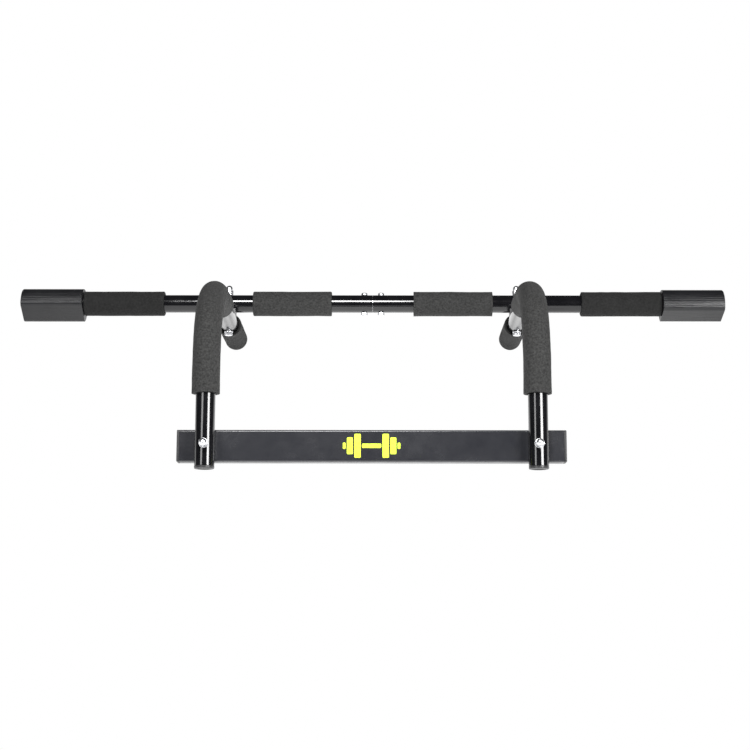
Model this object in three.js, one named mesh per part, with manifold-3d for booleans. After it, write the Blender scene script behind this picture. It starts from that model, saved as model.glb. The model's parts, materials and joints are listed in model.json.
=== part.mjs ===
// Pull up bar for a doorway: a cross bar in two halves, two bent arms with handles, a flat bar that
// rests on the door trim, foam grips and two swivelling end pads. Millimetres, +Z up.
//
// The parts are drawn in the frame of the arms. X runs along the cross bar, Y along the arms' long
// legs and Z up their short legs. The origin is where the centrelines of the two legs would meet.
// The whole assembly is then tipped until it stands on the flat bar's edge and the handles.

import * as THREE from 'three';
import { mergeVertices } from 'three/addons/utils/BufferGeometryUtils.js';
import Module from 'manifold-3d';

// Round tube and foam
const tubeRadius = 12.5;
const tubeWall = 1.5;
const gripRadius = 17.5;
const handleGripRadius = 16.5;
const seatGap = 0.3; // between pieces that touch
const roundSides = 20; // sides of a tube or a grip
const smallSides = 12; // sides of a bolt, a washer or a drilled hole

// Arms
const armSpacing = 412; // between the two arms
const footDrop = 242; // from the long leg's centreline down to the foot
const handleReach = 394; // from the short leg's centreline out to the handle's end
const bendRadius = 105;
const bendSteps = 10;
const armGripFootGap = 94; // bare tube between the foot and the foam
const armGripReach = 159; // where the foam ends on the long leg
const handleGripStart = 285;

// Cross bar
const barReach = 271; // where it crosses the arms
const saddleWeb = 2.5; // spacer's thickness between the two tubes
const saddleSize = 20;
const saddleGrip = 4; // how far the spacer's corners reach round each tube
const barLift = 2 * tubeRadius + saddleWeb;
const innerGripSpan = [58.6, 171];
const outerGripSpan = [298, 412.5];
const jointScrewOffset = 12;
const sleeveLength = 120;

// End pads
const padSpan = [413, 500];
const padRadius = 23;
const padFlat = 16; // from the middle of the round side to the flat side
const padShift = 3.5; // the round side's middle is off the bar's centreline, towards the flat side
const padCorner = 3;
const padEdge = 2;
const padEndWall = 4;
const padRim = 3;
const padRecess = 8;
const padTurns = { left: 56, right: 71 }; // degrees away from facing the wall

// Flat bar
const flatLength = 485;
const flatHeight = 40;
const flatDepth = 20;
const flatCorner = 2.5;
const flatFootGap = 10.5; // from the foot up to its lower edge

// Plugs in tube ends
const plugLip = 3;
const plugDepth = 15;
const plugWall = 2;
const plugBevel = 1;

// M6 bolts with dome nuts, M5 screws in the joint
const boltRadius = 3;
const boltHole = 3.3;
const boltHeadWidth = 10;
const boltHeadHeight = 4;
const washerRadius = 6;
const washerThickness = 1.6;
const domeNutHex = 5;
const domeNutHeight = 12;
const domeRadius = 4.75;
const domeThread = 8.5; // how far the bolt goes into the nut
const screwRadius = 2.5;
const screwHole = 2.8;
const screwHeadRadius = 4.5;
const screwHeadHeight = 3;
const nutWidth = 8;
const nutHeight = 4;
const screwTail = 1.5;

const quarterTurn = Math.PI / 2;
const flatLift = -footDrop + flatFootGap + flatHeight / 2;
const flatReach = tubeRadius + seatGap + flatDepth / 2;
const handleGripEnd = handleReach - plugLip - seatGap;

// At rest the assembly stands on the flat bar's rounded lower edge and on the ends of the two
// handle grips. The tilt is the one that puts that edge and those grips on one level.
const edgeDrop = -flatLift + flatHeight / 2 - flatCorner - handleGripRadius;
const edgeReach = handleGripEnd - flatReach - flatDepth / 2 + flatCorner;
const standTilt = Math.atan2(edgeDrop, edgeReach) + Math.asin(flatCorner / Math.hypot(edgeDrop, edgeReach));

const finishes = {
  glossPaint: { color: 0x101014, roughness: 0.2, metalness: 0 },
  satinPaint: { color: 0x222327, roughness: 0.35, metalness: 0 },
  foam: { color: 0x3c3c3b, roughness: 0.95, metalness: 0 },
  padRubber: { color: 0x38383b, roughness: 0.6, metalness: 0 },
  plastic: { color: 0x18181a, roughness: 0.5, metalness: 0 },
  zinc: { color: 0xc8cbd0, roughness: 0.25, metalness: 1 },
};

const wasm = await Module();
wasm.setup();

function toSolid(geometry) {
  const bare = geometry.clone();
  bare.deleteAttribute('normal');
  bare.deleteAttribute('uv');
  const merged = mergeVertices(bare, 1e-4);
  const mesh = new wasm.Mesh({
    numProp: 3,
    vertProperties: Float32Array.from(merged.attributes.position.array),
    triVerts: Uint32Array.from(merged.index.array),
  });
  return new wasm.Manifold(mesh);
}

function toGeometry(solid) {
  const mesh = solid.getMesh();
  const indexed = new THREE.BufferGeometry();
  indexed.setAttribute('position', new THREE.BufferAttribute(mesh.vertProperties, 3));
  indexed.setIndex(new THREE.BufferAttribute(mesh.triVerts, 1));
  const geometry = indexed.toNonIndexed();
  geometry.computeVertexNormals();
  return geometry;
}

function cut(body, ...tools) {
  return toGeometry(tools.reduce((solid, tool) => solid.subtract(toSolid(tool)), toSolid(body)));
}

function join(body, ...others) {
  return toGeometry(others.reduce((solid, other) => solid.add(toSolid(other)), toSolid(body)));
}

function circle(radius, sides = roundSides) {
  const points = [];
  for (let side = 0; side < sides; side += 1) {
    const angle = (2 * Math.PI * side) / sides;
    points.push(new THREE.Vector2(radius * Math.cos(angle), radius * Math.sin(angle)));
  }
  return points;
}

function hexagon(width) {
  return circle(width / 2 / Math.cos(Math.PI / 6), 6);
}

function roundedRectangle(width, height, corner) {
  const x = width / 2 - corner;
  const y = height / 2 - corner;
  const shape = new THREE.Shape();
  shape.absarc(x, y, corner, 0, quarterTurn);
  shape.absarc(-x, y, corner, quarterTurn, 2 * quarterTurn);
  shape.absarc(-x, -y, corner, 2 * quarterTurn, 3 * quarterTurn);
  shape.absarc(x, -y, corner, 3 * quarterTurn, 4 * quarterTurn);
  return shape.getPoints(2);
}

// A straight solid between two heights on Z, with or without a hole right through it.
function prism(outline, from, to, hole = null) {
  const shape = new THREE.Shape(outline);
  if (hole) shape.holes.push(new THREE.Path(hole));
  const geometry = new THREE.ExtrudeGeometry(shape, { depth: to - from, bevelEnabled: false });
  return geometry.translate(0, 0, from);
}

function alongX(geometry) {
  return geometry.rotateY(quarterTurn);
}

function alongY(geometry) {
  return geometry.rotateX(-quarterTurn);
}

function drill(radius, reach) {
  return prism(circle(radius, smallSides), -reach, reach);
}

function sleeve(outer, inner, from, to) {
  return prism(circle(outer), from, to, circle(inner));
}

// The arm's centreline: up the short leg, round the bend and out along the long leg. It is
// measured from the foot, and the rings that a sleeve gets are listed one by one, so that a
// straight run takes one step and the bend takes bendSteps.
const bendStart = footDrop - bendRadius;
const bendEnd = bendStart + bendRadius * quarterTurn;
const armEnd = bendEnd + handleReach - bendRadius;

function reachToDistance(reach) {
  return bendEnd + reach - bendRadius;
}

class ArmCentreline extends THREE.Curve {
  constructor(from, to) {
    super();
    const bend = Array.from({ length: bendSteps + 1 }, (_, step) => {
      return bendStart + ((bendEnd - bendStart) * step) / bendSteps;
    });
    this.rings = [from, ...bend, to];
  }

  // Equal steps of u are equal steps along the list of rings, not along the curve's length.
  getUtoTmapping(u) {
    return u;
  }

  distance(t) {
    const place = t * (this.rings.length - 1);
    const ring = Math.min(Math.floor(place), this.rings.length - 2);
    return THREE.MathUtils.lerp(this.rings[ring], this.rings[ring + 1], place - ring);
  }

  getPoint(t) {
    const distance = this.distance(t);
    if (distance <= bendStart) return new THREE.Vector3(0, 0, distance - footDrop);
    if (distance >= bendEnd) return new THREE.Vector3(0, distance - bendEnd + bendRadius, 0);
    const angle = (distance - bendStart) / bendRadius;
    const y = bendRadius * (1 - Math.cos(angle));
    return new THREE.Vector3(0, y, bendRadius * (Math.sin(angle) - 1));
  }

  getTangent(t) {
    const angle = THREE.MathUtils.clamp((this.distance(t) - bendStart) / bendRadius, 0, quarterTurn);
    return new THREE.Vector3(0, Math.sin(angle), Math.cos(angle));
  }
}

function bentSleeve(outer, inner, from, to) {
  const path = new ArmCentreline(from, to);
  const shape = new THREE.Shape(circle(outer));
  shape.holes.push(new THREE.Path(circle(inner)));
  return new THREE.ExtrudeGeometry(shape, { steps: path.rings.length - 1, extrudePath: path });
}

function armTube() {
  const tube = bentSleeve(tubeRadius, tubeRadius - tubeWall, plugLip + seatGap, armEnd - plugLip - seatGap);
  const barHole = drill(boltHole, gripRadius).translate(0, barReach, 0);
  const flatHole = alongY(drill(boltHole, gripRadius)).translate(0, 0, flatLift);
  return cut(tube, barHole, flatHole);
}

function armGrip() {
  return bentSleeve(gripRadius, tubeRadius + seatGap, armGripFootGap, reachToDistance(armGripReach));
}

function handleGrip() {
  return alongY(sleeve(handleGripRadius, tubeRadius + seatGap, handleGripStart, handleGripEnd));
}

// A round plug for a tube's end: a lip as wide as the tube and a hollow shank. It points down Z.
function tubePlug() {
  const shank = tubeRadius - tubeWall - seatGap;
  const profile = [
    [0, 0],
    [tubeRadius - plugBevel, 0],
    [tubeRadius, plugBevel],
    [tubeRadius, plugLip],
    [shank, plugLip],
    [shank, plugLip + plugDepth],
    [shank - plugWall, plugLip + plugDepth],
    [shank - plugWall, plugLip],
    [0, plugLip],
  ].map(([radius, height]) => new THREE.Vector2(radius, height));
  const geometry = new THREE.LatheGeometry(profile, roundSides);
  return geometry.rotateX(quarterTurn);
}

function saddle() {
  const half = saddleSize / 2;
  const square = [[-half, -half], [half, -half], [half, half], [-half, half]];
  const outline = square.map(([x, y]) => new THREE.Vector2(x, y));
  const block = prism(outline, tubeRadius - saddleGrip, barLift - tubeRadius + saddleGrip);
  const groove = (tubeRadius + seatGap) / Math.cos(Math.PI / roundSides);
  const armGroove = alongY(prism(circle(groove), -saddleSize, saddleSize));
  const barGroove = alongX(prism(circle(groove), -saddleSize, saddleSize)).translate(0, 0, barLift);
  return cut(block, armGroove, barGroove, drill(boltHole, barLift));
}

function barTube() {
  const end = padSpan[1] - padEndWall - seatGap;
  const tube = alongX(sleeve(tubeRadius, tubeRadius - tubeWall, seatGap / 2, end));
  const armHole = drill(boltHole, gripRadius).translate(armSpacing / 2, 0, 0);
  const screwHoleTool = drill(screwHole, gripRadius).translate(jointScrewOffset, 0, 0);
  return cut(tube, armHole, screwHoleTool);
}

function jointSleeve() {
  const outer = tubeRadius - tubeWall - seatGap;
  const body = alongX(sleeve(outer, outer - tubeWall, -sleeveLength / 2, sleeveLength / 2));
  const holes = [-1, 1].map((side) => drill(screwHole, gripRadius).translate(side * jointScrewOffset, 0, 0));
  return cut(body, ...holes);
}

function barGrip([from, to]) {
  return alongX(sleeve(gripRadius, tubeRadius + seatGap, from, to));
}

// A circle with one flat side, which faces -Y once the outline is turned to lie across X.
function padOutline(radius, flat) {
  const corner = Math.sqrt(radius * radius - flat * flat);
  const flatEnd = corner - padCorner;
  const startAngle = Math.asin(corner / radius) + padCorner / radius;
  const shape = new THREE.Shape();
  shape.absarc(0, 0, radius, startAngle - quarterTurn, 3 * quarterTurn - startAngle);
  shape.lineTo(-flatEnd, -flat);
  shape.lineTo(flatEnd, -flat);
  return shape.getPoints(11);
}

function endPad() {
  const [from, to] = padSpan;
  const body = new THREE.ExtrudeGeometry(new THREE.Shape(padOutline(padRadius, padFlat)), {
    depth: to - from - 2 * padEdge,
    bevelThickness: padEdge,
    bevelSize: padEdge,
    bevelOffset: -padEdge,
    bevelSegments: 1,
  });
  body.translate(0, -padShift, from + padEdge);
  const boreRadius = (tubeRadius + seatGap) / Math.cos(Math.PI / roundSides);
  const bore = prism(circle(boreRadius), from - 1, to - padEndWall);
  const recess = prism(padOutline(padRadius - padRim, padFlat - padRim), from - 1, from + padRecess);
  recess.translate(0, -padShift, 0);
  return alongX(cut(body, bore, recess));
}

function flatBar() {
  const half = flatLength / 2 - plugLip - seatGap;
  const outside = roundedRectangle(flatHeight, flatDepth, flatCorner);
  const inside = roundedRectangle(
    flatHeight - 2 * tubeWall, flatDepth - 2 * tubeWall, flatCorner - tubeWall);
  const body = alongX(prism(outside, -half, half, inside));
  const holes = [-1, 1].map((side) => {
    return alongY(drill(boltHole, flatDepth)).translate((side * armSpacing) / 2, 0, 0);
  });
  return cut(body, ...holes);
}

function flatBarPlug() {
  const inner = 2 * (tubeWall + seatGap);
  const height = flatHeight - inner;
  const depth = flatDepth - inner;
  const shankCorner = flatCorner - tubeWall;
  const lip = prism(roundedRectangle(flatHeight, flatDepth, flatCorner), -plugLip, 0);
  const outside = roundedRectangle(height, depth, shankCorner);
  const inside = roundedRectangle(height - 2 * plugWall, depth - 2 * plugWall, shankCorner);
  const shank = prism(outside, -plugLip - plugDepth, -plugLip / 2, inside);
  return alongX(join(lip, shank));
}

// Bolts stand on the underside of their head: the head is below zero and the shank above it.
function hexBolt(length) {
  const head = prism(hexagon(boltHeadWidth), -boltHeadHeight, 0);
  return join(head, prism(circle(boltRadius, smallSides), -boltHeadHeight / 2, length));
}

function panScrew(length) {
  const head = prism(circle(screwHeadRadius, smallSides), -screwHeadHeight, 0);
  return join(head, prism(circle(screwRadius, smallSides), -screwHeadHeight / 2, length));
}

function washer() {
  return prism(circle(washerRadius, smallSides), 0, washerThickness, circle(boltHole, smallSides));
}

function hexNut() {
  return prism(hexagon(nutWidth), 0, nutHeight, circle(screwHole, smallSides));
}

function domeNut() {
  const straight = domeNutHeight - domeRadius;
  const profile = [new THREE.Vector2(0, domeNutHex / 2), new THREE.Vector2(domeRadius, domeNutHex / 2)];
  for (let step = 0; step <= 3; step += 1) {
    const angle = (quarterTurn * step) / 3;
    const radius = step === 3 ? 0 : domeRadius * Math.cos(angle);
    profile.push(new THREE.Vector2(radius, straight + domeRadius * Math.sin(angle)));
  }
  const dome = new THREE.LatheGeometry(profile, smallSides).rotateX(quarterTurn);
  const hole = prism(circle(boltHole, smallSides), -1, domeThread + seatGap);
  return cut(join(prism(hexagon(boltHeadWidth), 0, domeNutHex), dome), hole);
}

function piece(name, finish, geometry) {
  const mesh = new THREE.Mesh(geometry, new THREE.MeshStandardMaterial(finishes[finish]));
  mesh.name = name;
  return mesh;
}

// A bolt with its two washers and its dome nut, clamping what lies between two heights on Z.
function boltSet(names, from, to) {
  const group = new THREE.Group();
  const underHead = from - washerThickness - 2 * seatGap;
  const nutSeat = to + washerThickness + 2 * seatGap;
  const bolt = piece(names.bolt, 'zinc', hexBolt(nutSeat + domeThread - underHead));
  const headWasher = piece(names.headWasher, 'zinc', washer());
  const nutWasher = piece(names.nutWasher, 'zinc', washer());
  const nut = piece(names.nut, 'zinc', domeNut());
  bolt.position.z = underHead;
  headWasher.position.z = from - washerThickness - seatGap;
  nutWasher.position.z = to + seatGap;
  nut.position.z = nutSeat;
  group.add(bolt, headWasher, nutWasher, nut);
  return group;
}

function boltNames(side, joint) {
  return {
    bolt: `${side}_${joint}_bolt`,
    headWasher: `${side}_${joint}_bolt_washer`,
    nutWasher: `${side}_${joint}_nut_washer`,
    nut: `${side}_${joint}_dome_nut`,
  };
}

function arm(side) {
  const group = new THREE.Group();
  const footPlug = piece(`${side}_foot_plug`, 'plastic', tubePlug());
  const handlePlug = piece(`${side}_handle_plug`, 'plastic', tubePlug());
  footPlug.position.z = -footDrop;
  handlePlug.position.y = handleReach;
  handlePlug.rotation.x = quarterTurn;
  const barBolt = boltSet(boltNames(side, 'arm'), -tubeRadius, barLift + tubeRadius);
  const flatBolt = boltSet(boltNames(side, 'flat_bar'), -flatReach - flatDepth / 2, tubeRadius);
  const spacer = piece(`${side}_saddle`, 'plastic', saddle());
  barBolt.position.y = barReach;
  spacer.position.y = barReach;
  flatBolt.position.z = flatLift;
  flatBolt.rotation.x = quarterTurn; // its nut faces -Y
  group.add(piece(`${side}_arm_tube`, 'glossPaint', armTube()));
  group.add(piece(`${side}_arm_grip`, 'foam', armGrip()));
  group.add(piece(`${side}_handle_grip`, 'foam', handleGrip()));
  group.add(footPlug, handlePlug, spacer, barBolt, flatBolt);
  return group;
}

// Half of the cross bar, along +X from the seam. The left half is the same one turned about Z.
function halfBar(side) {
  const group = new THREE.Group();
  const screwLength = 2 * (tubeRadius + seatGap) + nutHeight + screwTail;
  const screw = piece(`${side}_joint_screw`, 'zinc', panScrew(screwLength));
  const nut = piece(`${side}_joint_nut`, 'zinc', hexNut());
  screw.position.set(jointScrewOffset, 0, tubeRadius + seatGap);
  screw.rotation.x = Math.PI; // its head is on top
  nut.position.set(jointScrewOffset, 0, -tubeRadius - seatGap - nutHeight);
  group.add(piece(`${side}_bar_tube`, 'glossPaint', barTube()));
  group.add(piece(`${side}_inner_grip`, 'foam', barGrip(innerGripSpan)));
  group.add(piece(`${side}_outer_grip`, 'foam', barGrip(outerGripSpan)));
  group.add(screw, nut);
  return group;
}

function pullUpBar() {
  const assembly = new THREE.Group();
  const bar = new THREE.Group();
  const flat = new THREE.Group();
  for (const [side, sign] of [['left', -1], ['right', 1]]) {
    const turned = sign < 0 ? Math.PI : 0;
    const oneArm = arm(side);
    oneArm.position.x = (sign * armSpacing) / 2;
    assembly.add(oneArm);
    const half = halfBar(side);
    half.rotation.z = turned;
    bar.add(half);
    const pad = piece(`${side}_end_pad`, 'padRubber', endPad());
    pad.rotation.set(THREE.MathUtils.degToRad(padTurns[side]), turned, 0);
    bar.add(pad);
    const plug = piece(`${side}_flat_bar_plug`, 'plastic', flatBarPlug());
    plug.position.x = (sign * flatLength) / 2;
    plug.rotation.z = turned;
    flat.add(plug);
  }
  bar.add(piece('bar_joint_sleeve', 'zinc', jointSleeve()));
  bar.position.set(0, barReach, barLift);
  flat.add(piece('flat_bar', 'satinPaint', flatBar()));
  flat.position.set(0, flatReach, flatLift);
  assembly.add(bar, flat);
  assembly.rotation.x = -standTilt;
  return assembly;
}

// Moves the assembly so that it stands on Z = 0, centred on the origin.
function standOnFloor(assembly) {
  const object = new THREE.Group();
  object.add(assembly);
  object.updateMatrixWorld(true);
  const box = new THREE.Box3().setFromObject(object, true);
  assembly.position.y -= (box.min.y + box.max.y) / 2;
  assembly.position.z -= box.min.z;
  return object;
}

export default standOnFloor(pullUpBar());
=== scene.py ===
# Doorway pull up bar: the finished look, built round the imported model.
# Pieces are drawn in millimetres in the frame of the arms, as the part is: X runs along the bar,
# Y along the arms' long legs, Z up their short legs. They are moved to where the model stands.

import json
from math import atan2, cos, pi, radians, sin

import bmesh
import bpy
from mathutils import Matrix, Vector, noise


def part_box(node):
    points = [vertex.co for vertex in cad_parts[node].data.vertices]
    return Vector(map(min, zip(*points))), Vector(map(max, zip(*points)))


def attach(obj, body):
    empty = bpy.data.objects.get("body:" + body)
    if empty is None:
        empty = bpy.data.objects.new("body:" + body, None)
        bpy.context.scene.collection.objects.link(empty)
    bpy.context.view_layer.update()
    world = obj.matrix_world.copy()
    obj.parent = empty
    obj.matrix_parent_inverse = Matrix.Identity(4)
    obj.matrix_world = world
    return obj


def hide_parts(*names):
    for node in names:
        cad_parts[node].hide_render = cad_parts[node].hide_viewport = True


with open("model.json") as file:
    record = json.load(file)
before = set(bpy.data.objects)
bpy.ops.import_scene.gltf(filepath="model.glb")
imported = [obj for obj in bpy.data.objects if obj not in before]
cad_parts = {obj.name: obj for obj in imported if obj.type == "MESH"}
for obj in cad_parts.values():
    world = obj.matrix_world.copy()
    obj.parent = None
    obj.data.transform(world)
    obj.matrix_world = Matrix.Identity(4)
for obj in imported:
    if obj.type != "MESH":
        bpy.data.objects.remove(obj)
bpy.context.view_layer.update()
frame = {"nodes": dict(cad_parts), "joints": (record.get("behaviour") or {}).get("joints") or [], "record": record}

# ------- where the model stands

arm = {
    "tubeRadius": 12.5,
    "tubeWall": 1.5,
    "sideCount": 64,
    "ringStep": 6,
    "endBevel": 0.3,
    "footDrop": 242,  # from the long leg's centreline down to the foot
    "handleReach": 394,
    "bendRadius": 105,
    "barReach": 271,
    "barLift": 27.5,
    "seatGap": 0.3,  # between pieces that touch
    "plugLip": 3,
}

trimRest = next(mount for mount in frame["record"]["mounts"] if mount["name"] == "door_trim_rest")
swivels = {joint["child"]: Vector(joint["pos_m"]) for joint in frame["joints"]}
tilt = atan2(trimRest["axis"][1], trimRest["axis"][2])
barMiddle = sum(swivels.values(), Vector()) / len(swivels)
standing = (
    Matrix.Translation(barMiddle) @ Matrix.Rotation(-tilt, 4, "X") @ Matrix.Scale(0.001, 4)
    @ Matrix.Translation((0, -arm["barReach"], -arm["barLift"]))
)
drawing = standing.inverted()
onBar = (
    standing @ Matrix.Translation((0, arm["barReach"], arm["barLift"]))
    @ Matrix.Rotation(pi / 2, 4, "Y")
)
sides = {"left": -1, "right": 1}


def span(node):  # how far a node reaches along the bar
    low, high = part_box(node)
    return low.x * 1000, high.x * 1000


def middle(node):  # a node's middle, in the arms' frame
    low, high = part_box(node)
    return drawing @ ((low + high) / 2)


# ------- materials

def newMaterial(name):
    material = bpy.data.materials.new(name)
    material.use_nodes = True
    tree = material.node_tree
    return material, tree, tree.nodes["Principled BSDF"]


def addNode(tree, kind, **values):
    node = tree.nodes.new("ShaderNode" + kind)
    for key, value in values.items():
        if hasattr(node, key):
            setattr(node, key, value)
        else:
            node.inputs[key.replace("_", " ")].default_value = value
    return node


def objectPattern(tree, kind, stretch=(1, 1, 1), **values):
    place = addNode(tree, "TexCoord")
    mapping = addNode(tree, "Mapping", Scale=stretch)
    pattern = addNode(tree, kind, **values)
    tree.links.new(place.outputs["Object"], mapping.inputs["Vector"])
    tree.links.new(mapping.outputs["Vector"], pattern.inputs["Vector"])
    return pattern


def spread(tree, source, low, high, fromLow=0.3, fromHigh=0.7):
    ramp = addNode(tree, "MapRange", From_Min=fromLow, From_Max=fromHigh, To_Min=low, To_Max=high)
    tree.links.new(source, ramp.inputs["Value"])
    return ramp.outputs["Result"]


def blendColours(tree, source, dark, light, fromLow=0.3, fromHigh=0.7):
    ramp = addNode(tree, "ValToRGB")
    ramp.color_ramp.elements[0].position = fromLow
    ramp.color_ramp.elements[0].color = (*dark, 1)
    ramp.color_ramp.elements[1].position = fromHigh
    ramp.color_ramp.elements[1].color = (*light, 1)
    tree.links.new(source, ramp.inputs["Fac"])
    return ramp.outputs["Color"]


def addBumps(tree, shader, *layers):  # each layer is a height, its strength and its depth in metres
    normal = None
    for height, strength, depth in layers:
        bump = addNode(tree, "Bump", Strength=strength, Distance=depth)
        tree.links.new(height, bump.inputs["Height"])
        if normal:
            tree.links.new(normal, bump.inputs["Normal"])
        normal = bump.outputs["Normal"]
    tree.links.new(normal, shader.inputs["Normal"])


def makeGlossPaint():
    material, tree, shader = newMaterial("glossPaint")
    smudge = objectPattern(tree, "TexNoise", Scale=45, Detail=5, Roughness=0.6)
    peel = objectPattern(tree, "TexNoise", Scale=420, Detail=2)
    colour = blendColours(tree, smudge.outputs["Fac"], (0.003, 0.003, 0.0038), (0.0055, 0.0055, 0.0065))
    tree.links.new(colour, shader.inputs["Base Color"])
    tree.links.new(spread(tree, smudge.outputs["Fac"], 0.09, 0.15), shader.inputs["Roughness"])
    addBumps(tree, shader, (peel.outputs["Fac"], 0.006, 0.0002))
    shader.inputs["IOR"].default_value = 1.52
    return material


def makeSatinPaint():
    material, tree, shader = newMaterial("satinPaint")
    cloud = objectPattern(tree, "TexNoise", Scale=28, Detail=6, Roughness=0.65)
    peel = objectPattern(tree, "TexNoise", Scale=520, Detail=3)
    grit = objectPattern(tree, "TexVoronoi", Scale=260)
    colour = blendColours(tree, cloud.outputs["Fac"], (0.015, 0.0155, 0.019), (0.018, 0.0185, 0.022))
    tree.links.new(colour, shader.inputs["Base Color"])
    tree.links.new(spread(tree, cloud.outputs["Fac"], 0.2, 0.3), shader.inputs["Roughness"])
    addBumps(tree, shader, (peel.outputs["Fac"], 0.12, 0.0003), (grit.outputs["Distance"], 0.03, 0.0002))
    return material


def makeFoam(name, dark, light):
    material, tree, shader = newMaterial(name)
    mottle = objectPattern(tree, "TexNoise", Scale=400, Detail=6, Roughness=0.75)
    cells = objectPattern(tree, "TexVoronoi", Scale=1100)
    skin = objectPattern(tree, "TexNoise", Scale=60, Detail=4, Roughness=0.6)
    colour = blendColours(tree, mottle.outputs["Fac"], dark, light, 0.36, 0.64)
    tree.links.new(colour, shader.inputs["Base Color"])
    tree.links.new(spread(tree, skin.outputs["Fac"], 0.78, 0.92), shader.inputs["Roughness"])
    addBumps(
        tree, shader,
        (cells.outputs["Distance"], 0.35, 0.0004),
        (mottle.outputs["Fac"], 0.45, 0.0008),
        (skin.outputs["Fac"], 0.25, 0.001),
    )
    shader.inputs["Specular IOR Level"].default_value = 0.2
    shader.inputs["Sheen Weight"].default_value = 0.03
    shader.inputs["Sheen Roughness"].default_value = 0.6
    return material


def makePadRubber():
    material, tree, shader = newMaterial("padRubber")
    drawn = objectPattern(tree, "TexNoise", stretch=(0.06, 1, 1), Scale=380, Detail=5, Roughness=0.6)
    cloud = objectPattern(tree, "TexNoise", Scale=35, Detail=4)
    colour = blendColours(tree, cloud.outputs["Fac"], (0.007, 0.007, 0.008), (0.0115, 0.0115, 0.013))
    tree.links.new(colour, shader.inputs["Base Color"])
    tree.links.new(spread(tree, drawn.outputs["Fac"], 0.24, 0.4), shader.inputs["Roughness"])
    addBumps(tree, shader, (drawn.outputs["Fac"], 0.5, 0.0005), (cloud.outputs["Fac"], 0.1, 0.001))
    return material


def makeBlackPlastic():
    material, tree, shader = newMaterial("blackPlastic")
    grain = objectPattern(tree, "TexNoise", Scale=900, Detail=4)
    cloud = objectPattern(tree, "TexNoise", Scale=50, Detail=3)
    colour = blendColours(tree, cloud.outputs["Fac"], (0.016, 0.016, 0.017), (0.026, 0.026, 0.028))
    tree.links.new(colour, shader.inputs["Base Color"])
    tree.links.new(spread(tree, cloud.outputs["Fac"], 0.34, 0.48), shader.inputs["Roughness"])
    addBumps(tree, shader, (grain.outputs["Fac"], 0.3, 0.0003))
    return material


def makeZinc():
    material, tree, shader = newMaterial("zinc")
    tarnish = objectPattern(tree, "TexNoise", Scale=160, Detail=4, Roughness=0.6)
    scratch = objectPattern(tree, "TexNoise", stretch=(1, 0.15, 1), Scale=1500, Detail=3)
    colour = blendColours(tree, tarnish.outputs["Fac"], (0.72, 0.73, 0.76), (0.9, 0.91, 0.93))
    tree.links.new(colour, shader.inputs["Base Color"])
    tree.links.new(spread(tree, scratch.outputs["Fac"], 0.26, 0.4), shader.inputs["Roughness"])
    addBumps(tree, shader, (scratch.outputs["Fac"], 0.1, 0.0002))
    shader.inputs["Metallic"].default_value = 1
    return material


def makeLimePrint():
    material, tree, shader = newMaterial("limePrint")
    film = objectPattern(tree, "TexNoise", Scale=300, Detail=4)
    colour = blendColours(tree, film.outputs["Fac"], (0.62, 0.83, 0.03), (0.7, 0.9, 0.045))
    tree.links.new(colour, shader.inputs["Base Color"])
    tree.links.new(spread(tree, film.outputs["Fac"], 0.38, 0.5), shader.inputs["Roughness"])
    addBumps(tree, shader, (film.outputs["Fac"], 0.1, 0.0001))
    return material


glossPaint = makeGlossPaint()
satinPaint = makeSatinPaint()
foam = makeFoam("foam", (0.01, 0.01, 0.0098), (0.04, 0.04, 0.0394))
# a darker copy of the foam is painted shade, for the handles and the outer grips where less light falls
shadedFoam = makeFoam("shadedFoam", (0.0045, 0.0045, 0.0044), (0.0155, 0.0155, 0.0153))
padRubber = makePadRubber()
blackPlastic = makeBlackPlastic()
zinc = makeZinc()
limePrint = makeLimePrint()
print("materials ready")


# ------- modelling helpers

def vertsOf(geometry):
    return [item for item in geometry if isinstance(item, bmesh.types.BMVert)]


def edgesOf(geometry):
    return [item for item in geometry if isinstance(item, bmesh.types.BMEdge)]


def startRing(bm, radius, sideCount, height=0, capped=False):
    made = bmesh.ops.create_circle(bm, cap_ends=capped, radius=radius, segments=sideCount)["verts"]
    bmesh.ops.translate(bm, vec=(0, 0, height), verts=made)
    return list({edge for vert in made for edge in vert.link_edges})


def pull(bm, ring, way, steps):  # draws a ring straight along a vector
    step = Vector(way) / steps
    made = bmesh.ops.spin(bm, geom=ring, axis=(1, 0, 0), dvec=step, angle=0, steps=steps)
    return edgesOf(made["geom_last"])


def hexReach(across, angle):  # how far a hexagon's side is from its middle, in one direction
    return across / 2 / cos(angle % (pi / 3) - pi / 6)


def grow(bm, ring, height, radius=0, across=0, slope=0):
    # the next ring about Z, round or six-sided, at a new height
    made = bmesh.ops.extrude_edge_only(bm, edges=ring)["geom"]
    fresh = set(vertsOf(made))
    for vert in fresh:
        angle = atan2(vert.co.y, vert.co.x)
        reach = hexReach(across, angle) if across else radius
        rise = slope * (reach - across / 2) if across else 0
        vert.co = (reach * cos(angle), reach * sin(angle), height + rise)
    return [edge for edge in edgesOf(made) if all(vert in fresh for vert in edge.verts)]


def turn(bm, profile, sideCount, closed=True):  # a profile of radius and height, once round Z
    points = [bm.verts.new((radius, 0, height)) for radius, height in profile]
    pairs = list(zip(points, points[1:])) + ([(points[-1], points[0])] if closed else [])
    lines = [bm.edges.new(pair) for pair in pairs]
    bmesh.ops.spin(
        bm, geom=points + lines, axis=(0, 0, 1), angle=2 * pi, steps=sideCount, use_merge=True)
    bmesh.ops.remove_doubles(bm, verts=bm.verts, dist=0.0001)


def bevelSharp(bm, width, segments=3, angle=50):
    bmesh.ops.recalc_face_normals(bm, faces=bm.faces)
    sharp = [edge for edge in bm.edges if edge.is_manifold and edge.calc_face_angle() > radians(angle)]
    bmesh.ops.bevel(
        bm, geom=sharp, offset=width, offset_type="OFFSET", segments=segments, profile=0.5,
        affect="EDGES", material=-1, clamp_overlap=True)


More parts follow.
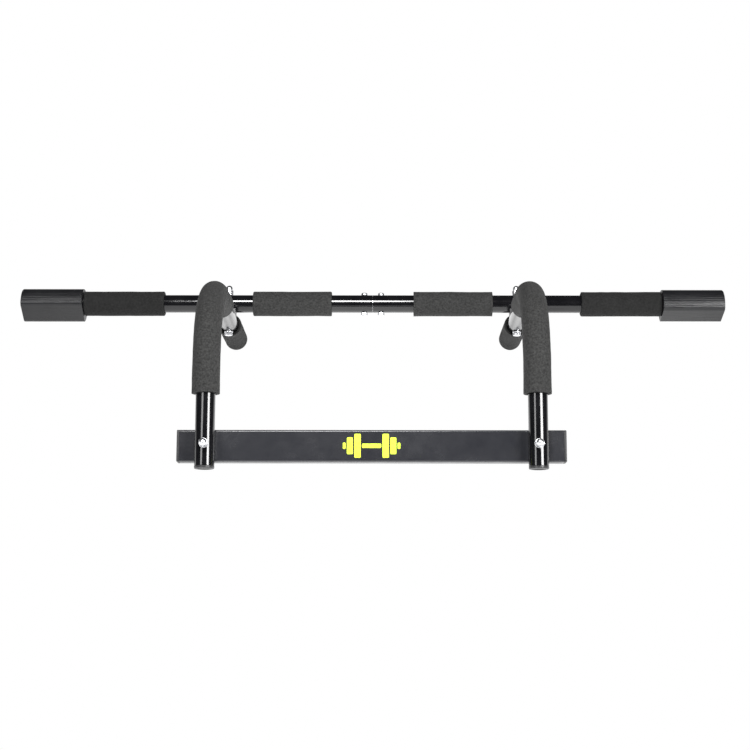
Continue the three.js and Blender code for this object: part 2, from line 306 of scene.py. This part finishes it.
def finishPiece(bm, name, material, slot, nodes, body="root", place=standing, creaseAngle=35):
    bmesh.ops.transform(bm, matrix=place, verts=bm.verts)
    bmesh.ops.recalc_face_normals(bm, faces=bm.faces)
    mesh = bpy.data.meshes.new(name)
    bm.to_mesh(mesh)
    bm.free()
    mesh.shade_smooth()
    mesh.set_sharp_from_angle(angle=radians(creaseAngle))
    mesh.materials.append(material)
    piece = bpy.data.objects.new(name, mesh)
    bpy.context.scene.collection.objects.link(piece)
    if slot != "foam":  # keeps large faces flat beside their small bevels
        even = piece.modifiers.new("evenShading", "WEIGHTED_NORMAL")
        even.keep_sharp = True
    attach(piece, body)
    if nodes:
        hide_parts(*nodes)
    return piece


# ------- arms: tube, bent foam and handle foam

grips = {
    "radius": 17.5,
    "handleRadius": 16.5,
    "armFootGap": 94,  # bare tube between the foot and the foam
    "armReach": 159,  # where the foam ends on the long leg
    "handleStart": 285,
    "sideCount": 72,
    "ringStep": 2.4,
    "endRound": 1.75,
    "endFlare": 0.1,
    "flareLength": 5,
    "waviness": 0.32,
    "dents": 0.14,
    "wrinkleDepth": 0.4,
    "wrinkleCount": 9,
}

bendStart = arm["footDrop"] - arm["bendRadius"]
bendLength = arm["bendRadius"] * pi / 2


def drawAlongArm(bm, ring, start, reach, step):
    # from a distance above the foot, up the short leg, round the bend and out to a reach
    ring = pull(bm, ring, (0, 0, bendStart - start), max(1, round((bendStart - start) / step)))
    bend = bmesh.ops.spin(
        bm, geom=ring, cent=(0, arm["bendRadius"], -arm["bendRadius"]), axis=(-1, 0, 0),
        angle=pi / 2, steps=max(24, round(bendLength / step)))
    straight = reach - arm["bendRadius"]
    return pull(bm, edgesOf(bend["geom_last"]), (0, straight, 0), max(1, round(straight / step)))


def bentSleeve(bm, outer, inner, start, reach, sideCount, step):
    ends = []
    for radius in (outer, inner):
        ring = startRing(bm, radius, sideCount, start - arm["footDrop"])
        ends.append((ring, drawAlongArm(bm, ring, start, reach, step)))
    bmesh.ops.bridge_loops(bm, edges=ends[0][0] + ends[1][0])
    bmesh.ops.bridge_loops(bm, edges=ends[0][1] + ends[1][1])


def straightSleeve(bm, outer, inner, low, high, sideCount, step):
    ends = []
    for radius in (outer, inner):
        ring = startRing(bm, radius, sideCount, low)
        ends.append((ring, pull(bm, ring, (0, 0, high - low), round((high - low) / step))))
    bmesh.ops.bridge_loops(bm, edges=ends[0][0] + ends[1][0])
    bmesh.ops.bridge_loops(bm, edges=ends[0][1] + ends[1][1])


def ruffle(bm, seed):  # hand-cut foam is never quite even
    bm.normal_update()
    shift = Vector((seed * 37.1, seed * 11.3, seed * 5.7))
    for vert in bm.verts:
        wave = noise.noise(vert.co * 0.03 + shift) * grips["waviness"]
        dent = noise.noise(vert.co * 0.11 + shift) * grips["dents"]
        vert.co += vert.normal * (wave + dent)


def armTube(side, x):
    bm = bmesh.new()
    inset = arm["plugLip"] + arm["seatGap"]
    inner = arm["tubeRadius"] - arm["tubeWall"]
    bentSleeve(
        bm, arm["tubeRadius"], inner, inset, arm["handleReach"] - inset, arm["sideCount"],
        arm["ringStep"])
    bevelSharp(bm, arm["endBevel"], 2)
    bmesh.ops.translate(bm, vec=(x, 0, 0), verts=bm.verts)
    return finishPiece(bm, side + "ArmTube", glossPaint, "gloss_paint", [side + "_arm_tube"])


def armGrip(side, x):
    bm = bmesh.new()
    inner = arm["tubeRadius"] + arm["seatGap"]
    bentSleeve(
        bm, grips["radius"], inner, grips["armFootGap"], grips["armReach"], grips["sideCount"],
        grips["ringStep"])
    bevelSharp(bm, grips["endRound"], 5)
    bendMiddle = Vector((0, arm["bendRadius"], -arm["bendRadius"]))
    for vert in bm.verts:  # the foam bunches up inside the bend
        spoke = Vector((0, vert.co.y, vert.co.z)) - bendMiddle
        turned = atan2(spoke.z, -spoke.y)
        inward = (arm["bendRadius"] - spoke.length) / grips["radius"]
        if 0 < turned < pi / 2 and inward > 0:
            fold = sin(turned * 4 * grips["wrinkleCount"] + noise.noise(vert.co * 0.05) * 2)
            fade = sin(2 * turned) ** 0.5 * inward ** 2
            vert.co -= spoke.normalized() * (fold * fade * grips["wrinkleDepth"])
    ruffle(bm, 1 if side == "left" else 2)
    bmesh.ops.translate(bm, vec=(x, 0, 0), verts=bm.verts)
    piece = finishPiece(bm, side + "ArmGrip", foam, "foam", [side + "_arm_grip"], creaseAngle=60)
    return piece


def straightGrip(name, node, outer, low, high, place, seed, material):
    bm = bmesh.new()
    inner = arm["tubeRadius"] + arm["seatGap"]
    straightSleeve(bm, outer, inner, low, high, grips["sideCount"], grips["ringStep"])
    bevelSharp(bm, grips["endRound"], 5)
    for vert in bm.verts:  # cut ends spread a little
        toEnd = min(vert.co.z - low, high - vert.co.z)
        if toEnd < grips["flareLength"] and vert.co.xy.length > outer - grips["endRound"]:
            lift = (1 - toEnd / grips["flareLength"]) ** 2 * grips["endFlare"]
            vert.co.xy += vert.co.xy.normalized() * lift
    ruffle(bm, seed)
    piece = finishPiece(bm, name, material, "foam", [node], place=place, creaseAngle=60)
    return piece


armX = {side: middle(side + "_arm_nut_washer").x for side in sides}
alongArm = Matrix.Rotation(-pi / 2, 4, "X")
handleEnd = arm["handleReach"] - arm["plugLip"] - arm["seatGap"]

for side in sides:
    armTube(side, armX[side])
    armGrip(side, armX[side])
    onArm = standing @ Matrix.Translation((armX[side], 0, 0)) @ alongArm
    # the handle grips wear the darker foam copy, painted shade
    straightGrip(
        side + "HandleGrip", side + "_handle_grip", grips["handleRadius"], grips["handleStart"],
        handleEnd, onArm, 3 if side == "left" else 4, shadedFoam)
print("arms built")


# ------- cross bar: two half tubes and four foam grips

bar = {"sideCount": 64, "ringStep": 10, "rim": 0.12}


def barTube(side):
    low, high = span(side + "_bar_tube")
    outer = arm["tubeRadius"]
    inner = outer - arm["tubeWall"]
    bm = bmesh.new()
    straightSleeve(bm, outer, inner, low, high, bar["sideCount"], bar["ringStep"])
    bevelSharp(bm, bar["rim"], 3)
    return finishPiece(
        bm, side + "BarTube", glossPaint, "gloss_paint", [side + "_bar_tube"], place=onBar)


for side in sides:
    barTube(side)
    for order, grip in enumerate(("inner", "outer")):
        low, high = span(f"{side}_{grip}_grip")
        # the outer grips wear the darker foam copy, painted shade; the inner grips the plain foam
        straightGrip(
            f"{side}{grip.capitalize()}Grip", f"{side}_{grip}_grip", grips["radius"], low, high,
            onBar, 5 + order * 2 + (side == "right"), shadedFoam if order else foam)
print("cross bar built")


# ------- end pads, which swivel on the bar

pads = {
    "radius": 23,
    "flat": 16,  # from the round side's middle to the flat side
    "shift": 3.5,  # the round side's middle is off the bar's axis, towards the flat side
    "corner": 3,
    "edge": 2,
    "endWall": 4,
    "rim": 3,
    "recess": 8,
    "sideCount": 48,
    "ribGap": 0.5,
    "ribDepth": 0.34,
}


def sharpen(bm, edges, width, segments):
    bmesh.ops.bevel(
        bm, geom=edges, offset=width, offset_type="OFFSET", segments=segments, profile=0.5,
        affect="EDGES", material=-1, clamp_overlap=True)


def endPad(side):
    low, high = span(side + "_end_pad")
    length = high - low
    facing = next(m["axis"] for m in frame["record"]["mounts"] if m["name"] == side + "_pad_face")
    bm = bmesh.new()
    # drawn with its inner end at 0 and its flat side towards -Y
    bmesh.ops.create_circle(bm, cap_ends=True, radius=pads["radius"], segments=pads["sideCount"])
    bmesh.ops.bisect_plane(
        bm, geom=bm.verts[:] + bm.edges[:] + bm.faces[:], plane_co=(0, -pads["flat"], 0),
        plane_no=(0, -1, 0), clear_outer=True)
    made = bmesh.ops.extrude_face_region(bm, geom=bm.faces[:])["geom"]
    bmesh.ops.translate(bm, vec=(0, 0, length), verts=vertsOf(made))
    corners = [
        edge for edge in bm.edges
        if edge.calc_length() > length / 2
        and all(abs(vert.co.y + pads["flat"]) < 0.01 for vert in edge.verts)]
    sharpen(bm, corners, pads["corner"], 6)
    outerEnd = [edge for edge in bm.edges if all(vert.co.z > length - 0.01 for vert in edge.verts)]
    sharpen(bm, outerEnd, pads["edge"], 5)
    # fine ribs run along the round back
    bm.normal_update()
    ribs = [face for face in bm.faces if face.calc_area() > 1.5 * length and face.normal.y > -0.75]
    ribs = [face for face in ribs if abs(face.normal.z) < 0.1]
    bmesh.ops.inset_individual(
        bm, faces=ribs, thickness=pads["ribGap"], depth=0, use_even_offset=True)
    for vert in {vert for face in ribs for vert in face.verts}:
        vert.co.xy += vert.co.xy.normalized() * pads["ribDepth"]
    bmesh.ops.translate(bm, vec=(0, -pads["shift"], 0), verts=bm.verts)
    # the inner end is a thin rim round a recess, and the bar goes in through the recess's floor
    bm.normal_update()
    inner = [face for face in bm.faces if all(vert.co.z < 0.01 for vert in face.verts)]
    bmesh.ops.inset_region(bm, faces=inner, thickness=pads["rim"], depth=0, use_even_offset=True)
    made = bmesh.ops.extrude_face_region(bm, geom=inner)["geom"]
    bmesh.ops.translate(bm, vec=(0, 0, pads["recess"]), verts=vertsOf(made))
    floor = [item for item in made if isinstance(item, bmesh.types.BMFace)]
    outline = [edge for edge in {e for face in floor for e in face.edges}
               if sum(face in floor for face in edge.link_faces) == 1]
    bmesh.ops.delete(bm, geom=floor, context="FACES_ONLY")
    mouth = startRing(bm, arm["tubeRadius"] + arm["seatGap"], 64, pads["recess"])
    bmesh.ops.bridge_loops(bm, edges=outline + mouth)
    depth = length - pads["endWall"] - pads["recess"]
    bottom = pull(bm, mouth, (0, 0, depth), 1)
    bmesh.ops.edgeloop_fill(bm, edges=bottom)
    rim = [edge for edge in bm.edges if all(vert.co.z < 0.01 for vert in edge.verts)
           and edge.is_manifold and edge.calc_face_angle() > radians(50)]
    sharpen(bm, rim, 0.5, 2)
    # its length along the bar, outwards, and its flat side turned to where it faces
    lengthwise = Matrix(((0, 0, sides[side], 0), (1, 0, 0, 0), (0, 1, 0, 0), (0, 0, 0, 1)))
    bmesh.ops.transform(bm, matrix=lengthwise, verts=bm.verts)
    bmesh.ops.translate(bm, vec=(low if side == "right" else high, 0, 0), verts=bm.verts)
    turned = atan2(facing[1], -facing[2])
    place = (
        Matrix.Translation(Vector((0, barMiddle.y, barMiddle.z)))
        @ Matrix.Rotation(turned, 4, "X") @ Matrix.Scale(0.001, 4))
    piece = finishPiece(
        bm, side + "EndPad", padRubber, "pad_rubber", [side + "_end_pad"], side + "_pad", place)
    return piece


for side in sides:
    endPad(side)
print("end pads built")


# ------- flat bar with its end plugs and its printed mark

flat = {
    "height": 40,
    "depth": 20,
    "corner": 2.5,
    "wall": 1.5,
    "plugLip": 3,
    "plugDepth": 15,
    "plugEdge": 0.9,
}


def roundedBlock(bm, length, depth, height, corner):
    bmesh.ops.create_cube(bm, size=1)
    bmesh.ops.scale(bm, vec=(length, depth, height), verts=bm.verts)
    lengthwise = [edge for edge in bm.edges if abs(edge.verts[0].co.x - edge.verts[1].co.x) > 0.1]
    sharpen(bm, lengthwise, corner, 6)


def flatBar():
    low, high = span("flat_bar")
    bm = bmesh.new()
    roundedBlock(bm, high - low, flat["depth"], flat["height"], flat["corner"])
    bm.normal_update()
    ends = [face for face in bm.faces if abs(face.normal.x) > 0.9]
    bmesh.ops.delete(bm, geom=ends, context="FACES_ONLY")
    bmesh.ops.solidify(bm, geom=bm.faces[:], thickness=flat["wall"])
    bmesh.ops.translate(bm, vec=middle("flat_bar"), verts=bm.verts)
    return finishPiece(bm, "flatBar", satinPaint, "satin_paint", ["flat_bar"])


def flatBarPlug(side):
    bm = bmesh.new()
    roundedBlock(bm, flat["plugLip"], flat["depth"], flat["height"], flat["corner"])
    outerRim = [edge for edge in bm.edges if all(vert.co.x > 1 for vert in edge.verts)]
    sharpen(bm, outerRim, flat["plugEdge"], 4)
    bm.normal_update()
    inner = [face for face in bm.faces if face.normal.x < -0.9]
    bmesh.ops.inset_region(bm, faces=inner, thickness=flat["wall"] + arm["seatGap"], depth=0)
    made = bmesh.ops.extrude_face_region(bm, geom=inner)["geom"]
    bmesh.ops.translate(bm, vec=(-flat["plugDepth"], 0, 0), verts=vertsOf(made))
    low, high = span(side + "_flat_bar_plug")
    bmesh.ops.translate(bm, vec=(-flat["plugLip"] / 2, 0, 0), verts=bm.verts)
    bmesh.ops.scale(bm, vec=(sides[side], 1, 1), verts=bm.verts)
    outside = high if side == "right" else low
    centre = middle("flat_bar")
    bmesh.ops.translate(bm, vec=(outside, centre.y, centre.z), verts=bm.verts)
    return finishPiece(
        bm, side + "FlatBarPlug", blackPlastic, "black_plastic", [side + "_flat_bar_plug"])


mark = {
    "thickness": 0.12,
    "corner": 1.4,
    # each bar of the dumbbell: its middle along the flat bar, its width and its height
    "bars": [(0, 24, 5.5), (17.5, 8, 30), (27, 7.5, 21), (34, 3.5, 8)],
}


def limeMark():
    bm = bmesh.new()
    for across, width, height in mark["bars"]:
        for side in ((1,) if across == 0 else (-1, 1)):
            made = bmesh.ops.create_grid(bm, x_segments=1, y_segments=1, size=0.5)["verts"]
            bmesh.ops.scale(bm, vec=(width, height, 1), verts=made)
            bmesh.ops.translate(bm, vec=(side * across, 0, 0), verts=made)
    bmesh.ops.bevel(
        bm, geom=bm.verts[:], offset=mark["corner"], offset_type="OFFSET", segments=5, profile=0.5,
        affect="VERTICES", material=-1, clamp_overlap=True)
    made = bmesh.ops.extrude_face_region(bm, geom=bm.faces[:])["geom"]
    bmesh.ops.translate(bm, vec=(0, 0, mark["thickness"]), verts=vertsOf(made))
    centre = middle("flat_bar")
    front = centre.y - flat["depth"] / 2 + 0.01
    onFront = Matrix.Translation((0, front, centre.z)) @ Matrix.Rotation(pi / 2, 4, "X")
    return finishPiece(bm, "limeMark", limePrint, "lime_print", [], place=standing @ onFront)


flatBar()
limeMark()
for side in sides:
    flatBarPlug(side)
print("flat bar built")


# ------- round plugs in the arms' ends

plug = {"lip": 3, "depth": 15, "wall": 2, "edge": 1, "dish": 0.6}


def tubePlug(name, node, place):
    radius = arm["tubeRadius"]
    shank = radius - arm["tubeWall"] - arm["seatGap"]
    inside = shank - plug["wall"]
    top = plug["lip"] + plug["depth"]
    profile = [
        (0, plug["dish"]), (radius - 4.5, plug["dish"]), (radius - 3.7, 0), (radius - plug["edge"], 0)]
    for step in range(1, 7):  # the lip's rounded edge
        angle = step * pi / 12
        profile.append((
            radius - plug["edge"] * (1 - sin(angle)), plug["edge"] * (1 - cos(angle))))
    profile += [
        (radius, plug["lip"]), (shank, plug["lip"]), (shank, top), (inside, top),
        (inside, plug["lip"]), (0, plug["lip"])]
    bm = bmesh.new()
    turn(bm, profile, 64, closed=False)
    return finishPiece(bm, name, blackPlastic, "black_plastic", [node], place=place)


for side in sides:
    foot = Matrix.Translation((armX[side], 0, -arm["footDrop"]))
    handle = Matrix.Translation((armX[side], arm["handleReach"], 0)) @ Matrix.Rotation(pi / 2, 4, "X")
    tubePlug(side + "FootPlug", side + "_foot_plug", standing @ foot)
    tubePlug(side + "HandlePlug", side + "_handle_plug", standing @ handle)
print("plugs built")


# ------- bolts, washers and nuts

bolts = {
    "radius": 3,
    "hole": 3.3,
    "headWidth": 10,
    "headHeight": 4,
    "washerRadius": 6,
    "washerThickness": 1.6,
    "nutHex": 5,
    "nutHeight": 12,
    "domeRadius": 4.75,
    "thread": 8.5,  # how far the bolt goes into the dome nut
    "slope": 0.55,  # the hexagons' turned chamfer
    "chamferRatio": 0.94,  # of the round ends of a hexagon to its width
    "chamferHeight": 0.1,
    "headDish": (3.4, 2.9, 0.35),  # its outer radius, its inner radius and its depth
    "pointLength": 0.8,
    "washerEdge": 0.3,
    "sideCount": 36,
}


def hexHead(bm, low, high, across):
    # a chamfered six-sided belt, and the round rings at its two ends
    roundEnd = across / 2 * bolts["chamferRatio"]
    chamfer = bolts["chamferHeight"]
    base = startRing(bm, roundEnd, bolts["sideCount"], low)
    ring = grow(bm, base, low + chamfer, across=across, slope=bolts["slope"])
    ring = grow(bm, ring, high - chamfer, across=across, slope=-bolts["slope"])
    return base, grow(bm, ring, high, radius=roundEnd)


def hexBolt(name, node, length, place):
    bm = bmesh.new()
    top, seat = hexHead(bm, -bolts["headHeight"], 0, bolts["headWidth"])
    dishOuter, dishInner, dishDepth = bolts["headDish"]
    top = grow(bm, top, -bolts["headHeight"], radius=dishOuter)
    top = grow(bm, top, -bolts["headHeight"] + dishDepth, radius=dishInner)
    bmesh.ops.edgeloop_fill(bm, edges=top)
    shank = grow(bm, seat, 0, radius=bolts["radius"])
    shank = grow(bm, shank, length - bolts["pointLength"], radius=bolts["radius"])
    shank = grow(bm, shank, length, radius=bolts["radius"] - bolts["pointLength"])
    bmesh.ops.edgeloop_fill(bm, edges=shank)
    return finishPiece(bm, name, zinc, "zinc", [node], place=place)


def washer(name, node, place):
    bm = bmesh.new()
    half = bolts["washerThickness"] / 2
    turn(bm, [(bolts["hole"], -half), (bolts["washerRadius"], -half),
              (bolts["washerRadius"], half), (bolts["hole"], half)], 48)
    bevelSharp(bm, bolts["washerEdge"], 3)
    return finishPiece(bm, name, zinc, "zinc", [node], place=place)


def domeNut(name, node, place):
    bm = bmesh.new()
    seat, ring = hexHead(bm, 0, bolts["nutHex"], bolts["headWidth"])
    radius = bolts["domeRadius"]
    straight = bolts["nutHeight"] - radius
    ring = grow(bm, ring, bolts["nutHex"] + 0.15, radius=radius - 0.35)
    ring = grow(bm, ring, bolts["nutHex"] + 0.6, radius=radius)
    for step in range(9):
        angle = step * radians(84) / 8
        ring = grow(bm, ring, straight + radius * sin(angle), radius=radius * cos(angle))
    bmesh.ops.edgeloop_fill(bm, edges=ring)
    bore = grow(bm, seat, 0, radius=bolts["hole"] + 0.5)
    bore = grow(bm, bore, 0.5, radius=bolts["hole"])
    bore = grow(bm, bore, bolts["thread"] + 0.5, radius=bolts["hole"])
    bmesh.ops.edgeloop_fill(bm, edges=bore)
    return finishPiece(bm, name, zinc, "zinc", [node], place=place)


def boltSet(side, joint):
    head = middle(f"{side}_{joint}_bolt_washer")
    nut = middle(f"{side}_{joint}_nut_washer")
    axis = nut - head
    onAxis = standing @ Matrix.Translation(head) @ axis.to_track_quat("Z", "X").to_matrix().to_4x4()
    seat = bolts["washerThickness"] / 2 + arm["seatGap"]
    label = f"{side}{joint.title().replace('_', '')}"
    washer(label + "BoltWasher", f"{side}_{joint}_bolt_washer", onAxis)
    washer(
        label + "NutWasher", f"{side}_{joint}_nut_washer",
        onAxis @ Matrix.Translation((0, 0, axis.length)))
    length = axis.length + 2 * seat + bolts["thread"]
    hexBolt(label + "Bolt", f"{side}_{joint}_bolt", length, onAxis @ Matrix.Translation((0, 0, -seat)))
    domeNut(
        label + "DomeNut", f"{side}_{joint}_dome_nut",
        onAxis @ Matrix.Translation((0, 0, axis.length + seat)))


screws = {
    "radius": 2.5,
    "headRadius": 4.5,
    "headHeight": 3,
    "socket": 3,
    "socketDepth": 1.6,
    "nutWidth": 8,
    "nutHeight": 4,
    "nutHole": 2.8,
    "tail": 1.5,
    "point": 0.6,
    "headBelt": 1.2,  # the head's upright side, before its dome
    "domeTurn": 62,
    "sideCount": 36,
}


def jointScrew(side):
    # its head is on top and its nut is underneath
    x = middle(side + "_joint_nut").x
    top = arm["barLift"] + arm["tubeRadius"] + arm["seatGap"]
    bottom = arm["barLift"] - arm["tubeRadius"] - arm["seatGap"]
    bm = bmesh.new()
    radius = screws["headRadius"]
    end = bottom - screws["nutHeight"] - screws["tail"]
    tip = startRing(bm, screws["radius"] - screws["point"], screws["sideCount"], end)
    ring = grow(bm, tip, end + screws["point"], radius=screws["radius"])
    ring = grow(bm, ring, top, radius=screws["radius"])
    ring = grow(bm, ring, top, radius=radius - 0.2)
    ring = grow(bm, ring, top + 0.2, radius=radius)
    domeTurn = radians(screws["domeTurn"])
    domeHeight = screws["headHeight"] - screws["headBelt"]
    for step in range(6):
        angle = step * domeTurn / 5
        ring = grow(
            bm, ring, top + screws["headBelt"] + domeHeight * sin(angle) / sin(domeTurn),
            radius=radius * (0.42 + 0.58 * cos(angle)))
    ring = grow(bm, ring, top + screws["headHeight"], across=screws["socket"])
    ring = grow(bm, ring, top + screws["headHeight"] - screws["socketDepth"], across=screws["socket"])
    bmesh.ops.edgeloop_fill(bm, edges=ring)
    bmesh.ops.edgeloop_fill(bm, edges=tip)
    onSpot = standing @ Matrix.Translation((x, arm["barReach"], 0))
    finishPiece(bm, side + "JointScrew", zinc, "zinc", [side + "_joint_screw"], place=onSpot)
    bm = bmesh.new()
    start, ring = hexHead(bm, bottom - screws["nutHeight"], bottom, screws["nutWidth"])
    ring = grow(bm, ring, bottom, radius=screws["nutHole"])
    start = grow(bm, start, bottom - screws["nutHeight"], radius=screws["nutHole"])
    bmesh.ops.bridge_loops(bm, edges=start + ring)
    finishPiece(bm, side + "JointNut", zinc, "zinc", [side + "_joint_nut"], place=onSpot)


for side in sides:
    boltSet(side, "arm")
    boltSet(side, "flat_bar")
    jointScrew(side)
print("bolts built")


# ------- the spacers at the crossings and the sleeve inside the bar keep their own shapes

for node, material in (
    ("left_saddle", blackPlastic), ("right_saddle", blackPlastic), ("bar_joint_sleeve", zinc)):
    slotOne = frame["nodes"][node].material_slots[0]
    slotOne.link = "OBJECT"
    slotOne.material = material


# ------- floor, lights and camera

studio = {
    "floorSize": 16,
    "floorGlow": 1.0,
    "floorGrey": 0.7,
    # the floor's painted bounce light, a glow the part sees: under its middle, far away, and how wide it fades
    "floorBounce": 1.25,
    "floorEdgeBounce": 0.12,
    "bounceReach": 0.62,
    "worldGlow": 0.04,
    # each light: place, aim, width and height in metres, and power
    "lights": {
        "barLight": ((-0.16, -0.78, 1.42), (-0.1, 0.14, 0.1), 0.5, 0.45, 30),
        "rightLight": ((1.25, -1.32, 1.0), (0.1, -0.2, 0.06), 0.75, 0.6, 36),
        "leftLight": ((-1.02, -1.32, 1.0), (-0.1, -0.2, 0.06), 0.5, 0.6, 7),
    },
}

view = {
    "aim": (0.0034, 0.0878, 0.0108),
    "distance": 2.189,
    "elevation": 20.7,
    "turn": -0.16,
    "lens": 73.9,
    "sensor": 36,
}


def makeFloor():
    bm = bmesh.new()
    bmesh.ops.create_grid(bm, x_segments=8, y_segments=8, size=studio["floorSize"] / 2)
    mesh = bpy.data.meshes.new("studioFloor")
    bm.to_mesh(mesh)
    bm.free()
    material, tree, shader = newMaterial("studioFloor")
    shader.inputs["Base Color"].default_value = (*(studio["floorGrey"],) * 3, 1)
    shader.inputs["Roughness"].default_value = 0.9
    shader.inputs["Specular IOR Level"].default_value = 0
    shader.inputs["Emission Color"].default_value = (1, 1, 1, 1)
    # painted light pool: the floor glows for the part, brightest under the middle and fading outwards
    pool = objectPattern(
        tree, "TexGradient", stretch=(1 / studio["bounceReach"],) * 3, gradient_type="SPHERICAL")
    glowing = spread(
        tree, pool.outputs["Fac"], studio["floorEdgeBounce"], studio["floorBounce"], 0, 0.8)
    tree.links.new(glowing, shader.inputs["Emission Strength"])
    glow = addNode(tree, "Emission", Strength=studio["floorGlow"])
    lightPath = addNode(tree, "LightPath")
    both = addNode(tree, "MixShader")
    output = tree.nodes["Material Output"]
    tree.links.new(lightPath.outputs["Is Camera Ray"], both.inputs["Fac"])
    tree.links.new(shader.outputs["BSDF"], both.inputs[1])
    tree.links.new(glow.outputs["Emission"], both.inputs[2])
    tree.links.new(both.outputs["Shader"], output.inputs["Surface"])
    mesh.materials.append(material)
    floor = bpy.data.objects.new("studioFloor", mesh)
    bpy.context.scene.collection.objects.link(floor)


def makeWorld():
    world = bpy.data.worlds.new("studioWorld")
    world.use_nodes = True
    tree = world.node_tree
    background = tree.nodes["Background"]
    background.inputs["Strength"].default_value = studio["worldGlow"]
    white = addNode(tree, "Background")
    white.inputs["Color"].default_value = (1, 1, 1, 1)
    background.inputs["Color"].default_value = (1, 1, 1, 1)
    lightPath = addNode(tree, "LightPath")
    both = addNode(tree, "MixShader")
    tree.links.new(lightPath.outputs["Is Camera Ray"], both.inputs["Fac"])
    tree.links.new(background.outputs["Background"], both.inputs[1])
    tree.links.new(white.outputs["Background"], both.inputs[2])
    tree.links.new(both.outputs["Shader"], tree.nodes["World Output"].inputs["Surface"])
    bpy.context.scene.world = world


def makeLight(name, place, aim, width, height, power):
    data = bpy.data.lights.new(name, "AREA")
    data.shape = "RECTANGLE"
    data.size = width
    data.size_y = height
    data.energy = power
    light = bpy.data.objects.new(name, data)
    light.location = place
    light.rotation_euler = (Vector(aim) - Vector(place)).to_track_quat("-Z", "Y").to_euler()
    light.visible_camera = False
    bpy.context.scene.collection.objects.link(light)


def makeCamera():
    data = bpy.data.cameras.new("camera")
    data.lens = view["lens"]
    data.sensor_width = view["sensor"]
    camera = bpy.data.objects.new("camera", data)
    elevation, turned = radians(view["elevation"]), radians(view["turn"])
    back = Vector((-sin(turned) * cos(elevation), -cos(turned) * cos(elevation), sin(elevation)))
    camera.location = Vector(view["aim"]) + back * view["distance"]
    camera.rotation_euler = back.to_track_quat("Z", "Y").to_euler()
    bpy.context.scene.collection.objects.link(camera)
    bpy.context.scene.camera = camera


makeFloor()
makeWorld()
for name, values in studio["lights"].items():
    makeLight(name, *values)
makeCamera()
bpy.context.scene.view_settings.view_transform = "Standard"
print("studio ready")
